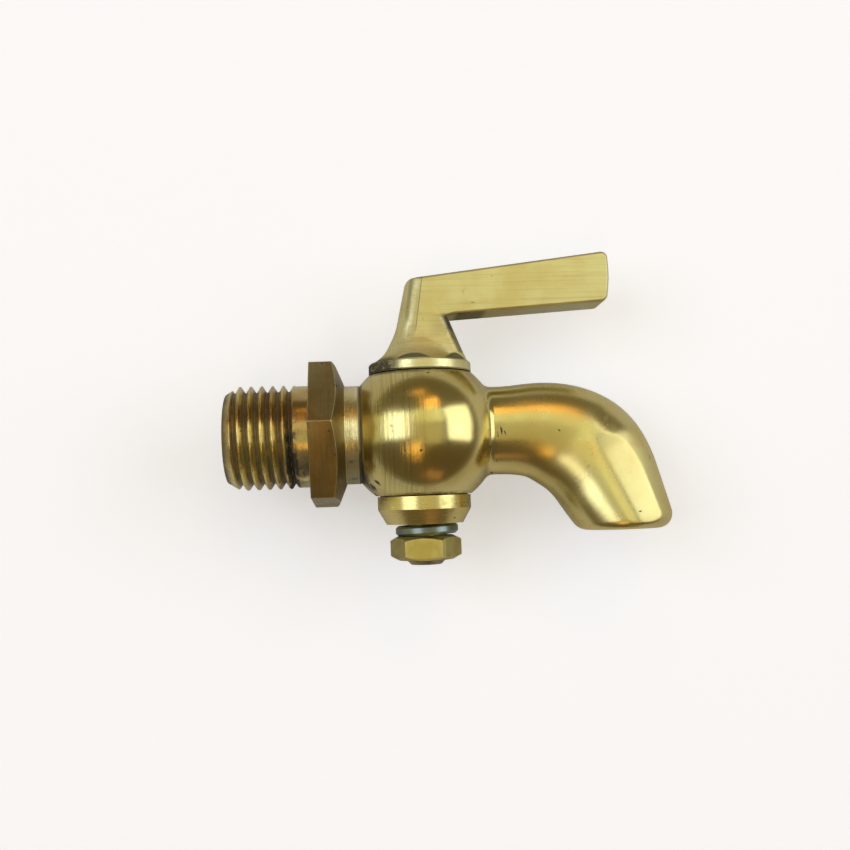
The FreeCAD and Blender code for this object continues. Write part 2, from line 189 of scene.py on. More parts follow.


# Worked metal: tone patches, fine lines one way, pits, grime that in places carries painted shade and
# painted dark reflections, and edges worn bright with a painted highlight.
def workedMetal(name, look):
    material, tree, shader = newMaterial(name)
    place = tree.add("ShaderNodeTexCoord")[3]  # Object coordinates
    x, y, z = [value / mm for value in tree.add("ShaderNodeSeparateXYZ", None, [place])]
    rounded, edge = edgeOf(tree, look["edgeRadius"] * mm)
    worked = look["workedMask"](tree, place, x, y, z) if look["workedMask"] else 1.0

    patches = tree.noise(place, look["patchScale"], 4.0, 0.55)
    lines = tree.noise(place, look["lineScale"], 3.0, 0.6, look["lineStretch"])
    fine = tree.noise(place, look["lineScale"] * 3.1, 2.0, 0.5, look["lineStretch"])
    rubbed = tree.noise(place, look["rubScale"], 3.0, 0.6, look["rubStretch"])
    wavy = tree.noise(place, look["waveScale"], 1.0, 0.3)
    pitted = tree.noise(place, look["pitScale"], 1.0, 0.4)
    pits = tree.rise(pitted, look["pitLevel"], look["pitLevel"] + look["pitSoft"])

    # This mask paints dirt and, for some pieces, painted shade and painted dark reflections into colour,
    # roughness and metallic.
    dirtAndShade = tree.clamp(look["dirtAndShadeMask"](tree, place, x, y, z) + pits * 0.8)
    for spot, sizes, turn in look["marks"]:
        dirtAndShade = dirtAndShade.maths("MAXIMUM", ragged(tree, place, spot, sizes, turn) * 0.95)
    dirtAndShade = dirtAndShade * (1 - edge * 0.6)

    colour = tree.mix(tree.rise(patches, *look["patchRange"]), look["bright"], look["warm"])
    lined = tree.rise(lines, *look["lineRange"]) * worked * look["lineTone"]
    colour = tree.mix(lined, colour, look["lineColour"])
    colour = tree.mix(dirtAndShade, colour, look["dirtAndShadeColour"])
    # Edges painted brighter: partly wear, partly a painted highlight along each edge.
    colour = tree.mix(edge * look["edgeWearAndHighlight"], colour, look["edgeWearAndHighlightColour"])
    tree.plug(shader.inputs["Base Color"], colour)

    rough = look["rough"] + (patches - 0.5) * look["roughSpread"]
    rough = rough + (lines - 0.5) * look["roughLines"] * worked + worked * look["workedRough"]
    rough = rough + dirtAndShade * look["dirtAndShadeRough"]
    if look["hazeMask"]:
        rough = rough + look["hazeMask"](tree, place, x, y, z)
    tree.plug(shader.inputs["Roughness"], tree.clamp(rough, 0.05, 0.9))
    tree.plug(shader.inputs["Metallic"], 1 - dirtAndShade * look["dirtAndShadeDull"])

    if look["tilt"]:
        rounded = look["tilt"](tree, x, z, rounded)
    relief = (lines + fine * 0.4) * worked + rubbed * look["rubDepth"] - pits * 0.5 - dirtAndShade * 0.6
    bump = rounded
    for height, layer in ((relief, "line"), (wavy, "wave")):
        bump = tree.add("ShaderNodeBump", None, {
            "Strength": look[layer + "Strength"], "Distance": look[layer + "Distance"] * mm,
            "Height": height, "Normal": bump})[0]
    tree.plug(shader.inputs["Normal"], bump)
    return material


# The casting, in millimetres and degrees from the centre of the inlet end.
tap = dict(
    # inlet: thread, plain stub and bore
    threadRadius=6.475, threadDepth=0.80, pitch=1.337, crestAt=1.70, crestFlat=0.12, runOut=8.05,
    stubRadius=6.35, leadRadius=5.525, leadLength=1.5, boreRadius=3.0, boreEnd=19.2,
    # spanner hexagon and the neck behind it
    hexFace=10.4, hexAcross=16.8, hexWidth=2.8, hexCone=1.45, hexTurn=7.1, hexEdge=0.13,
    neckRadius=6.15, neckEnd=16.45,
    # ball, with a flat above and one below
    ballCentre=24.2, ballRadius=9.798, ballTop=7.3, ballBottom=7.75, filletRadius=1.4,
    # spout: its line from the ball's centre, and its height and width at root, bend and mouth
    straight=12.7, bendRadius=11.4, bendAngle=62.7, swellAngle=46.5, mouthDrop=12.9, mouthRound=1.8,
    rootHeight=11.05, bendHeight=14.9, mouthHeight=10.67, rootWidth=10.9, bendWidth=11.9,
    mouthWidth=10.7, squareness=2.25, taperPower=1.1, innerEase=0.8, easeAt=21.2, easeSpan=2.9,
    # ground facet on each side of the tail
    facetTurn=8.0, facetDepth=0.30, facetStart=1.8, facetEdge=0.05, facetCut=0.93, facetLift=1.2,
    facetRow=30, facetEaseRows=40,
    # rows and columns of the meshes
    around=192, threadRows=200, ballRows=96, filletRows=12, spoutRows=120, mouthRows=14, lipRows=4,
)


def addObject(name, data):
    made = bpy.data.objects.new(name, data)
    bpy.context.scene.collection.objects.link(made)
    return made


def meshObject(name, points, faces):
    mesh = bpy.data.meshes.new(name)
    mesh.from_pydata([Vector(point) * mm for point in points], [], faces)
    mesh.update()
    return addObject(name, mesh)


def ringFaces(rows, columns):  # quads between rings of points
    faces = []
    for row in range(rows - 1):
        for column in range(columns):
            after = (column + 1) % columns
            faces.append((row * columns + column, row * columns + after,
                          (row + 1) * columns + after, (row + 1) * columns + column))
    return faces


def mend(mesh, merge=0.0, turnOut=True, bevel=0.0):  # merge and bevel in millimetres
    shape = bmesh.new()
    shape.from_mesh(mesh)
    if merge:
        bmesh.ops.remove_doubles(shape, verts=shape.verts, dist=merge * mm)
    if turnOut:
        bmesh.ops.recalc_face_normals(shape, faces=shape.faces)
    if bevel:
        bmesh.ops.bevel(shape, geom=shape.edges[:], offset=bevel * mm, segments=3,
                        affect="EDGES", profile=0.5)
    shape.to_mesh(mesh)
    shape.free()


def shadeSmooth(mesh, sharpAngle):
    mesh.polygons.foreach_set("use_smooth", [True] * len(mesh.polygons))
    mesh.set_sharp_from_angle(angle=math.radians(sharpAngle))


# Last step of each own mesh: doubles merged, faces outwards, smooth shade, one material.
def finished(piece, sharpAngle, material=None):
    mend(piece.data, merge=0.002)
    shadeSmooth(piece.data, sharpAngle)
    if material:
        piece.data.materials.clear()
        piece.data.materials.append(material)
    return piece


# A plain object in place of one with modifiers.
def plainObject(source, name):
    graph = bpy.context.evaluated_depsgraph_get()
    mesh = bpy.data.meshes.new_from_object(source.evaluated_get(graph))
    source.modifiers.clear()
    bpy.data.objects.remove(source)
    return addObject(name, mesh)


# Turned about the waterway; the profile is a list of (x, radius).
def lathe(name, profile, material=None, columns=144):
    points = []
    for x, radius in profile:
        for column in range(columns):
            angle = math.tau * column / columns
            points.append((x, radius * math.cos(angle), radius * math.sin(angle)))
    return finished(meshObject(name, points, ringFaces(len(profile), columns)), 30, material)


def joined(name, parts):
    with bpy.context.temp_override(active_object=parts[0], object=parts[0],
                                   selected_objects=parts, selected_editable_objects=parts):
        bpy.ops.object.join()
    parts[0].name = name
    parts[0].data.name = name
    return parts[0]


# Geometry nodes for a helical thread about X, with a lead cone and a run-out into the stub.
def threadTree():
    group = bpy.data.node_groups.new("helicalThread", "GeometryNodeTree")
    sizes = ("Length", "Crest Radius", "Depth", "Pitch", "Crest Place", "Crest Flat", "Run Out",
             "Stub Radius", "Lead Radius", "Lead Length")
    kinds = {"NodeSocketFloat": sizes, "NodeSocketInt": ("Rows", "Columns"),
             "NodeSocketMaterial": ("Material",)}
    for kind, labels in kinds.items():
        for label in labels:
            group.interface.new_socket(name=label, in_out="INPUT", socket_type=kind)
    group.interface.new_socket(name="Geometry", in_out="OUTPUT", socket_type="NodeSocketGeometry")

    tree = Tree(group)
    (length, crest, depth, pitch, crestPlace, flat, runOut, stub, leadRadius, leadLength,
     rows, columns, finish) = tree.add("NodeGroupInput")[:13]
    grid = tree.add("GeometryNodeMeshGrid", None, [1.0, 1.0, rows, columns])[0]
    place = tree.add("GeometryNodeInputPosition")[0]
    u, v, _ = tree.add("ShaderNodeSeparateXYZ", None, [place])
    along = (u + 0.5) * length
    turn = v + 0.5
    phase = ((along - crestPlace) / pitch - turn + 0.75).maths("FRACT")  # 0.5 is a crest
    ridge = 1 - (phase * 2 - 1).maths("ABSOLUTE")
    ridge = tree.clamp((ridge - flat) / (1 - flat * 2))
    threaded = crest - depth * (1 - ridge)
    radius = stub + (threaded - stub) * tree.fall(along, runOut, runOut + pitch * 0.6)
    lead = leadRadius + along / leadLength * (crest - leadRadius)
    radius = radius.maths("MINIMUM", lead)
    angle = turn * math.tau
    across, up = radius * angle.maths("COSINE"), radius * angle.maths("SINE")
    spot = tree.add("ShaderNodeCombineXYZ", None, [along, across, up])[0]

    shape = tree.add("GeometryNodeSetPosition", None, {"Geometry": grid, "Position": spot})[0]
    for kind, sockets in (
            ("GeometryNodeMergeByDistance", {"Distance": 0.001 * mm}),
            ("GeometryNodeSetShadeSmooth", {"Shade Smooth": True}),
            ("GeometryNodeRealizeInstances", {}),
            ("GeometryNodeSetMaterial", {"Material": finish})):
        shape = tree.add(kind, None, {"Geometry": shape, **sockets})[0]
    tree.add("NodeGroupOutput", None, [shape])
    return group


def inletThread(material):
    seed = addObject("threadSeed", bpy.data.meshes.new("threadSeed"))
    grower = seed.modifiers.new("grow", "NODES")
    grower.node_group = threadTree()
    values = {
        "Length": (tap["hexFace"] + 0.3) * mm, "Crest Radius": tap["threadRadius"] * mm,
        "Depth": tap["threadDepth"] * mm, "Pitch": tap["pitch"] * mm,
        "Crest Place": tap["crestAt"] * mm, "Crest Flat": tap["crestFlat"],
        "Run Out": tap["runOut"] * mm, "Stub Radius": tap["stubRadius"] * mm,
        "Lead Radius": tap["leadRadius"] * mm, "Lead Length": tap["leadLength"] * mm,
        "Rows": tap["threadRows"], "Columns": tap["around"] + 1, "Material": material}
    for item in grower.node_group.interface.items_tree:
        if item.in_out == "INPUT":
            grower[item.identifier] = values[item.name]
    return finished(plainObject(seed, "inletThread"), 60)


# End face of the inlet, a small chamfer, and the drilling behind it.
def inletBore(material):
    bore, lead, end = tap["boreRadius"], tap["leadRadius"], tap["boreEnd"]
    return lathe("inletBore", [
        (end, 0.001), (end, bore), (0.35, bore), (0.2, bore + 0.03), (0.0, bore + 0.3),
        (0.0, lead - 0.6), (0.0, lead)], material)


# Hexagon with its back corners turned off by a cone, as a boolean of two plain blanks.
def hexHead(material):
    corner = tap["hexAcross"] / math.sqrt(3)
    start = tap["hexFace"]
    coneStart = start + tap["hexWidth"]
    end = coneStart + tap["hexCone"]
    points = []
    for x in (start, end):
        for number in range(6):
            angle = math.radians(tap["hexTurn"] + 60 * number)
            points.append((x, -corner * math.cos(angle), corner * math.sin(angle)))
    faces = [tuple(range(6)), tuple(range(11, 5, -1))]
    faces += [(i, (i + 1) % 6, (i + 1) % 6 + 6, i + 6) for i in range(6)]
    head = meshObject("hexBlank", points, faces)
    mend(head.data, bevel=tap["hexEdge"])
    cone = lathe("hexCone", [
        (start - 1, 0.001), (start - 1, corner + 1), (coneStart - 0.9, corner + 1),
        (coneStart, corner), (end, tap["neckRadius"] + 0.02), (end + 1, 5.0), (end + 1, 0.001)],
        columns=180)
    for blank in (head, cone):
        mend(blank.data)
    cut = head.modifiers.new("cone", "BOOLEAN")
    cut.operation = "INTERSECT"
    cut.object = cone
    cut.solver = "EXACT"
    piece = plainObject(head, "hexHead")
    bpy.data.objects.remove(cone)
    return finished(piece, 12, material)


def neckSleeve(material):
    radius, end = tap["neckRadius"], tap["neckEnd"]
    return lathe("neck", [(tap["hexFace"] + tap["hexWidth"], radius), (end, radius),
                          (end + 0.15, radius - 0.12), (end + 0.75, radius - 0.25)], material)


def unit(value):
    return min(max(value, 0), 1)


# Halves a range until it closes on the last value that passes.
def lastPassing(test, low, high):
    for _ in range(40):
        middle = (low + high) / 2
        if test(middle):
            low = middle
        else:
            high = middle
    return low


def mouthLength():
    full = math.radians(tap["bendAngle"])
    fallen = tap["bendRadius"] * (1 - math.cos(full))
    beyond = (tap["mouthDrop"] - fallen) / math.sin(full)
    return tap["straight"] + tap["bendRadius"] * full + beyond


# Half height and half width of the spout; lengths run from the ball's centre.
def spoutHalf(length):
    swell = tap["straight"] + math.radians(tap["swellAngle"]) * tap["bendRadius"]
    if length < swell:
        first, second = "root", "bend"
        share = unit((length - tap["ballRadius"]) / (swell - tap["ballRadius"]))
        share = (1 - math.cos(math.pi * share)) / 2
    else:
        first, second = "bend", "mouth"
        share = ((length - swell) / (mouthLength() - swell)) ** tap["taperPower"]
    return [(tap[first + side] + (tap[second + side] - tap[first + side]) * share) / 2
            for side in ("Height", "Width")]


# Point of the centre line, and the slope there.
def spoutCentre(length):
    if length <= tap["straight"]:
        return Vector((length, 0, 0)), 0.0
    radius = tap["bendRadius"]
    full = math.radians(tap["bendAngle"])
    slope = min((length - tap["straight"]) / radius, full)
    point = Vector((tap["straight"] + radius * math.sin(slope), 0, -radius * (1 - math.cos(slope))))
    beyond = max(length - tap["straight"] - radius * full, 0)
    return point + Vector((math.cos(full), 0, -math.sin(full))) * beyond, slope


# Point of the superellipse across the spout; angle 0 is the outer side of the bend.
def sectionPoint(length, angle):
    centre, slope = spoutCentre(length)
    high, wide = spoutHalf(length)
    if math.cos(angle) < 0:  # the inner side is slimmer at the bend
        high -= tap["innerEase"] * math.exp(-((length - tap["easeAt"]) / tap["easeSpan"]) ** 2 / 2)
    power = 2 / tap["squareness"]
    across = math.copysign(abs(math.sin(angle)) ** power, math.sin(angle)) * wide
    up = math.copysign(abs(math.cos(angle)) ** power, math.cos(angle)) * high
    return centre + Vector((math.sin(slope) * up, across, math.cos(slope) * up))


# Point of the spout's skin: section points averaged over four millimetres of length.
def spoutPoint(length, angle):
    total = Vector()
    for offset, weight in ((-2, 1), (-1, 4), (0, 6), (1, 4), (2, 1)):
        total += sectionPoint(length + offset, angle) * (weight / 16)
    return total


# Point and outward normal of the ground facet on each side of the tail.
def facetPlanes():
    turn = math.radians(tap["facetTurn"])
    start = tap["straight"] + tap["bendRadius"] * math.radians(tap["bendAngle"]) + tap["facetStart"]
    planes = []
    for side in (-1, 1):
        spots = []
        for length in (start, mouthLength()):
            centre, slope = spoutCentre(length)
            high, wide = spoutHalf(length)
            outward = Vector((math.sin(slope), 0, math.cos(slope)))
            normal = Vector((0, side * math.cos(turn), 0)) + outward * math.sin(turn)
            support = math.hypot(high * math.sin(turn), wide * math.cos(turn))
            spots.append(centre + normal * (support - tap["facetDepth"]))
        along = (spots[1] - spots[0]).normalized()
        normal = (normal - along * normal.dot(along)).normalized()
        planes.append((spots[0], normal))
    return planes


# Points down one line of the surface, from the neck over the ball and spout into the bore.
def surfaceLine(angle):
    ball, fillet, rounding = tap["ballRadius"], tap["filletRadius"], tap["mouthRound"]
    along = Vector((1, 0, 0))
    root = spoutPoint(ball, angle)
    reach = math.hypot(root.y, root.z)
    out = Vector((0, root.y, root.z)).normalized()

    def arc(polar, radius):
        return (along * math.cos(polar) + out * math.sin(polar)) * radius

    # ball, then the fillet at the spout's root
    first = math.pi - math.asin(tap["neckRadius"] / ball)
    filletX = math.sqrt((ball + fillet) ** 2 - (reach + fillet) ** 2)
    last = math.atan2(reach + fillet, filletX)
    steps = tap["ballRows"]
    line = [arc(first + (last - first) * step / steps, ball) for step in range(steps + 1)]
    centre = along * filletX + out * (reach + fillet)
    steps = tap["filletRows"]
    for step in range(1, steps + 1):
        line.append(centre + arc(math.pi + last + (math.pi / 2 - last) * step / steps, fillet))

    # where this line meets the level mouth
    end = mouthLength()
    mouthCentre = spoutCentre(end)[0]
    low = lastPassing(lambda length: spoutPoint(length, angle).z > -tap["mouthDrop"],
                      filletX + 0.3, end + 8)
    corner = spoutPoint(low, angle)
    down = (corner - spoutPoint(low - 0.5, angle)).normalized()
    inward = mouthCentre - corner
    inward.z = 0
    inward.normalize()
    turn = math.acos(max(-1, min(1, down.dot(inward))))
    reachBack = rounding * math.tan(turn / 2)

    # spout, then the rounded rim of the mouth
    stop = low - reachBack
    steps = tap["spoutRows"]
    for step in range(1, steps + 1):
        line.append(spoutPoint(filletX + (stop - filletX) * step / steps, angle))
    tangent = line[-1]
    normal = (inward - down * inward.dot(down)).normalized()
    tip = corner - down * reachBack
    steps = tap["mouthRows"]
    for step in range(1, steps + 1):
        part = turn * step / steps
        spot = tip + (normal * (1 - math.cos(part)) + down * math.sin(part)) * rounding
        line.append(spot + (tangent - tip) * (1 - step / steps))

    # flat lip, then up the bore to its closed end
    edge = line[-1]
    polar = math.atan2(edge.y, edge.x - mouthCentre.x)
    bore = tap["boreRadius"]
    full = math.radians(tap["bendAngle"])
    tail = Vector((math.cos(full), 0, -math.sin(full)))
    rim = Vector((mouthCentre.x + math.cos(polar) * bore / math.sin(full),
                  math.sin(polar) * bore, -tap["mouthDrop"]))
    lip = rim + (edge - rim).normalized() * 0.25
    steps = tap["lipRows"]
    line += [edge.lerp(lip, step / steps) for step in range(1, steps + 1)]
    line += [rim - tail * depth for depth in (0.18, 0.8, 11.0)]
    line.append(mouthCentre - tail * 11.5)
    return line


# Ball and spout as one surface, with the ball's flats and the spout's facets cut in.
def ballAndSpout(material):
    columns = tap["around"]
    lines = [surfaceLine(math.tau * index / columns) for index in range(columns)]
    rows = len(lines[0])
    planes = facetPlanes()
    facetFrom = tap["ballRows"] + 1 + tap["facetRow"]
    facetTo = rows - tap["lipRows"] - 4
    points = []
    for row in range(rows):
        ease = unit((row - facetFrom) / tap["facetEaseRows"])
        for line in lines:
            spot = line[row].copy()
            if row <= tap["ballRows"]:
                spot.z = max(-tap["ballBottom"], min(tap["ballTop"], spot.z))
            elif facetFrom < row < facetTo:
                for place, normal in planes:
                    over = (spot - place).dot(normal) - (1 - ease) * tap["facetLift"]
                    if over > 0:
                        cut = over * over / (over + tap["facetEdge"]) * tap["facetCut"]
                        spot = spot - normal * cut
            points.append((spot.x + tap["ballCentre"], spot.y, spot.z))
    return finished(meshObject("ballAndSpout", points, ringFaces(rows, columns)), 28, material)


# How strong each darkening is, piece by piece: dirt, and in places painted shade and painted dark
# reflections. The masks below say where it is.
castDirtAndShadeShares = dict(seam=0.75, lowLeft=0.9, collar=0.8, overWasher=0.5, loose=0.25)
neckDirtAndShadeShares = dict(cast=1.0, below=0.55)
threadDirtAndShadeShares = dict(grooves=0.85, runOut=0.85, below=0.5, stub=0.5)
keyDirtAndShadeShares = dict(top=0.34, underBar=0.28, corner=0.5, flangeLeft=0.95, crescents=0.85, lines=0.5,
                 front=0.7, scratches=0.3, tail=0.3, rim=0.8, loose=0.2)
nutDirtAndShadeShares = dict(sideFacesShade=0.42, light=1.0)


def darkenedBy(tree, strengths, masks):
    return tree.clamp(sum(masks[name] * strength for name, strength in strengths.items()))


def castDirtAndShade(tree, place, x, y, z):
    around = (y * y + z * z) ** 0.5
    spread = tree.noise(place, 420.0, 4.0, 0.65)
    return darkenedBy(tree, castDirtAndShadeShares, dict(
        seam=tree.band(x, 16.3, 16.8, 0.12) * tree.rise(around, 5.9, 6.0),  # neck meets ball
        lowLeft=tree.fall(x + z * 0.4, 14.2, 16.6) * tree.rise(x, 16.4, 16.9)
        * tree.fall(z, -4.4, -3.0) * tree.rise(spread, 0.45, 0.58),
        # collar: a dark band on the ball just under the key's flange, stronger to the left: dirt and
        # painted shade along the contact line.
        collar=tree.rise(z, 6.75, 7.2) * tree.rise(spread + (24 - x) * 0.02, 0.42, 0.6),
        overWasher=tree.fall(z, -7.7, -7.3) * tree.rise(spread, 0.4, 0.6) * tree.fall(x, 31, 32),
        loose=tree.rise(spread, 0.64, 0.72)))


def neckDirtAndShade(tree, place, x, y, z):
    spread = tree.noise(place, 420.0, 4.0, 0.65)
    return darkenedBy(tree, neckDirtAndShadeShares, dict(
        cast=castDirtAndShade(tree, place, x, y, z),
        # below: a painted dark reflection on the neck's lower side.
        below=tree.fall(z + (spread - 0.5) * 2, -3.3, -1.8)))


def threadDirtAndShade(tree, place, x, y, z):
    around = (y * y + z * z) ** 0.5
    spread = tree.noise(place, 500.0, 4.0, 0.65)
    return darkenedBy(tree, threadDirtAndShadeShares, dict(
        # grooves: dirt and painted shade in the thread's grooves; below and stub: a painted dark
        # reflection on the lower side of the thread and stub.
        grooves=tree.fall(around + (spread - 0.5) * 0.7, 5.55, 6.2) * tree.rise(around, 5.4, 5.5),
        runOut=tree.band(x, 7.5, 8.9, 0.25) * tree.rise(spread - z * 0.02, 0.42, 0.58),
        below=tree.fall(z, -5.0, -1.5) * tree.rise(x, 4.0, 9.0) * tree.rise(spread, 0.35, 0.6),
        stub=tree.band(z + (spread - 0.5) * 2, -5.5, -1.9, 0.5) * tree.rise(x, 7.8, 8.4)))


def hexGrime(tree, place, x, y, z):
    return tree.rise(tree.noise(place, 380.0, 5.0, 0.7), 0.52, 0.72) * 0.35


# The ball's left half keeps its turning lines; they fade out towards the spout.
def turnedHalf(tree, place, x, y, z):
    spread = tree.noise(place, 300.0, 2.0, 0.5)
    return 1 - tree.rise(x + (spread - 0.5) * 8, 22.6, 27.2) * 0.94


# Millimetres along the spout's tail and across it, from the inner to the outer side.
def tailPlace(x, z):
    return (x - 44) * 0.459 - (z + 3) * 0.889, (x - 47.03) * 0.889 + (z + 6.17) * 0.459


# The tail was filed by hand, so its skin leans a little up and back in places.
def handFiled(tree, x, z, normal):
    along, across = tailPlace(x, z)
    inner = tree.rise(along, -3.2, 0.0) * tree.fall(across, -0.8, 0.6) * 0.26
    side = tree.rise(along, 0.2, 2.2) * tree.band(across, 0.6, 4.3, 0.7) * 0.11
    crown = tree.band(along, -3.2, 0.4, 0.9) * tree.rise(across, 1.0, 2.4) * 0.13
    leans = (((-0.459, 0, 0.889), inner), ((0.889, 0, 0.459), side), ((-0.25, 0, 0.97), crown))
    for way, share in leans:
        push = tree.vector("SCALE", {"Vector": way, "Scale": share})
        normal = tree.vector("ADD", [normal, push])
    return tree.vector("NORMALIZE", [normal])


# The spout is duller than the ball, and its ground facets duller still.
def spoutHaze(tree, place, x, y, z):
    along, across = tailPlace(x, z)
    facet = tree.rise(along, -0.6, 0.8) * tree.rise(across, 0.0, 1.2)
    spread = tree.noise(place, 200.0, 2.0, 0.5)
    return tree.rise(x + (spread - 0.5) * 6, 31, 37) * 0.10 + facet * 0.11


threadLook = dict(
    plainLook, bright=(0.78, 0.66, 0.28), warm=(0.50, 0.33, 0.12), rough=0.18,
    lineScale=9000.0, lineStretch=(1, 0.02, 0.02), lineStrength=0.3, lineDistance=0.06,
    edgeRadius=0.05, edgeWearAndHighlight=1.0, dirtAndShadeMask=threadDirtAndShade,
)
hexLook = dict(
    plainLook, bright=(0.38, 0.31, 0.14), warm=(0.34, 0.24, 0.085), rough=0.34, patchScale=420.0,
    lineScale=5500.0, lineStretch=(1, 0.03, 0.03), lineStrength=0.6, lineTone=0.6,
    lineColour=(0.25, 0.19, 0.08), pitLevel=0.72, edgeRadius=0.16, edgeWearAndHighlight=1.0, dirtAndShadeMask=hexGrime,
)
turnedLook = dict(
    plainLook, rough=0.17, roughLines=0.3, workedRough=0.04, workedMask=turnedHalf,
    lineScale=3600.0, lineStretch=(1, 0.003, 0.003), lineStrength=0.75, lineDistance=0.035,
    lineTone=0.9, lineColour=(0.42, 0.33, 0.12), dirtAndShadeMask=castDirtAndShade,
)
neckLook = dict(
    turnedLook, bright=(0.92, 0.87, 0.52), warm=(0.85, 0.72, 0.34), lineScale=9000.0,
    lineDistance=0.10, lineTone=0.3, dirtAndShadeMask=neckDirtAndShade,
)
boreLook = dict(plainLook, bright=(0.4, 0.28, 0.1), rough=0.4)
ballLook = dict(turnedLook, tilt=handFiled, hazeMask=spoutHaze, marks=(
    # centre, half sizes, turn: first the ball, then the dark scale by the neck
    ((24.87, -7.07, 6.76), (0.26, 0.5, 0.13), -15.0),
    ((23.58, -9.43, -2.58), (0.15, 0.4, 0.15), 0.0),
    ((17.83, -3.44, -6.6), (0.7, 0.9, 0.3), -47.0),
    ((18.44, -4.99, -6.16), (0.6, 0.7, 0.18), -50.0),
    # nicks at the spout's root and two further down
    ((33.55, -5.2, -0.3), (0.14, 1.2, 0.75), 8.0),
    ((33.95, -5.2, -0.55), (0.12, 1.2, 0.45), 20.0),
    ((33.1, -5.2, -0.9), (0.1, 1.2, 0.5), -5.0),
    ((33.0, -4.4, -3.9), (0.2, 1.2, 0.13), -20.0),
    ((32.15, -5.3, -2.4), (0.16, 1.4, 0.75), 5.0),
    ((32.6, -2.5, -5.35), (0.3, 2.5, 0.12), -25.0),
    ((40.5, -5.8, -0.5), (0.2, 1.2, 0.1), -25.0),
    ((50.1, -4.6, -10.7), (0.24, 1.3, 0.14), 10.0),
))

# The key's neck, blended from the flat lever into the oval foot, from the key's axis.
keyNeck = dict(
    low=8.78, high=15.7, footTop=13.4, blend=1.3, blendIn=1.2, blendOut=2.4,
    half=2.6, back=-1.48, backLean=12.5, backTop=19.25, backRound=2.3,
    front=3.65, frontLean=21.5, frontTop=14.6, frontRound=1.5,
    flareCentre=(9.058, 14.444), flareRadius=6.367, squash=9.8 / 12.3,
    lift=0.006, tuckFrom=15.0, tuckSlope=0.05, columns=200, rows=120,
)


# From the key's axis to the rounded rectangle of the neck.
def neckReach(angle, height):
    spread = {side: (keyNeck[side + "Top"] - height) * math.tan(math.radians(keyNeck[side + "Lean"]))
              for side in ("back", "front")}
    back, front = keyNeck["back"] - spread["back"], keyNeck["front"] + spread["front"]
    middle, halfLong = (back + front) / 2, (front - back) / 2

    def inside(reach):
        along = reach * math.cos(angle) - middle
        across = reach * math.sin(angle)
        corner = keyNeck["backRound"] if along < 0 else keyNeck["frontRound"]
        u, v = abs(along) - halfLong + corner, abs(across) - keyNeck["half"] + corner
        return min(max(u, v), 0) + math.hypot(max(u, 0), max(v, 0)) < corner

    return lastPassing(inside, 0.0, 12.0)


# From the key's axis to the oval foot.
def footReach(angle, height):
    centre, top = keyNeck["flareCentre"]
    drop = min(abs(height - top), keyNeck["flareRadius"]) if height < top else 0.0
    longHalf = centre - math.sqrt(keyNeck["flareRadius"] ** 2 - drop ** 2)
    wideHalf = longHalf * keyNeck["squash"]
    return longHalf * wideHalf / math.hypot(wideHalf * math.cos(angle), longHalf * math.sin(angle))


# A skin over the neck and foot, in which one runs softly into the other.
def neckSkin(material):
    rows, columns, blend = keyNeck["rows"], keyNeck["columns"], keyNeck["blend"]
    points = []
    for row in range(rows):
        height = keyNeck["low"] + (keyNeck["high"] - keyNeck["low"]) * row / (rows - 1)
        fade = unit((height - keyNeck["low"]) / keyNeck["blendIn"])
        fade *= unit((keyNeck["footTop"] - height) / keyNeck["blendOut"])
        lift = keyNeck["lift"] - max(height - keyNeck["tuckFrom"], 0) * keyNeck["tuckSlope"]
        for column in range(columns):
            angle = math.tau * (column + 0.5) / columns
            neck, foot = neckReach(angle, height), footReach(angle, height)
            near = max(blend - abs(neck - foot), 0)
            reach = max(neck, foot if height < keyNeck["footTop"] else 0)
            reach += near * near / (4 * blend) * fade + lift
            points.append((tap["ballCentre"] + reach * math.cos(angle), reach * math.sin(angle), height))
    return finished(meshObject("neckSkin", points, ringFaces(rows, columns)), 60, material)


# The flare of the key's neck is duller than the lever.
def neckHaze(tree, place, x, y, z):
    return tree.band(z, 9.2, 13.0, 0.6) * 0.2


